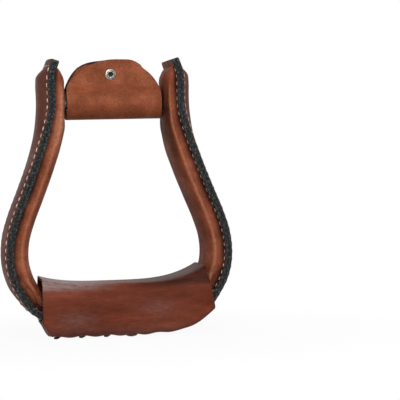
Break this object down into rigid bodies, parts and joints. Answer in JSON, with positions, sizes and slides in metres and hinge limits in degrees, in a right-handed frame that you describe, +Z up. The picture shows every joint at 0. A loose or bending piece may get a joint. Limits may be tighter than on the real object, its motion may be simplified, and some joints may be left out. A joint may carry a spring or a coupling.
{
  "type": "western stirrup",
  "caption": "Leather covered bell stirrup: bent hardwood frame, flat tread, and a rolled neck bar in a riveted leather sleeve.",
  "frame": {"origin": "on the ground, under the middle of the tread", "axes": "+Z up, X across the stirrup from one side arm to the other, -Y is the front with the laced edge and the rivet's open end"},
  "size_m": [0.179, 0.0586, 0.2154],
  "materials": {
    "strap_leather": "oiled, smooth grain side out, edges dyed black",
    "lining_leather": "wet moulded, open grain, edges dyed black",
    "tread_leather": "oiled, slightly streaked",
    "sleeve_leather": "matt, fine mottled grain",
    "lace_leather": "dark latigo thong",
    "seam_thread": "waxed cream thread",
    "frame_wood": "bare steam-bent hardwood",
    "block_wood": "bare sawn hardwood",
    "roller_wood": "turned, waxed",
    "zinc_steel": "zinc plated",
    "rivet_nickel": "nickel plated"
  },
  "bodies": {
    "stirrup": {"wood_frame": "frame_wood", "tread_block": "block_wood", "tread_screw_1": "zinc_steel", "tread_screw_2": "zinc_steel", "tread_screw_3": "zinc_steel", "tread_screw_4": "zinc_steel", "outer_strap": "strap_leather", "inner_cover_left": "lining_leather", "inner_cover_right": "lining_leather", "seam_thread_left": "seam_thread", "seam_thread_right": "seam_thread", "tread_cover": "tread_leather", "tread_lace": "lace_leather", "hanger_bolt": "zinc_steel", "hanger_nut": "zinc_steel", "bolt_washer_left": "zinc_steel", "bolt_washer_right": "zinc_steel"},
    "roller": {"bar_roller": "roller_wood"},
    "sleeve": {"bar_sleeve": "sleeve_leather", "sleeve_rivet": "rivet_nickel", "rivet_washer": "rivet_nickel"}
  },
  "joints": [
    {"name": "roller_spin", "type": "hinge", "parent": "stirrup", "child": "roller", "pos_m": [0, 0, 0.1805], "axis": [1, 0, 0], "continuous": true},
    {"name": "sleeve_swing", "type": "hinge", "parent": "stirrup", "child": "sleeve", "pos_m": [0, 0, 0.1805], "axis": [1, 0, 0], "continuous": true}
  ]
}
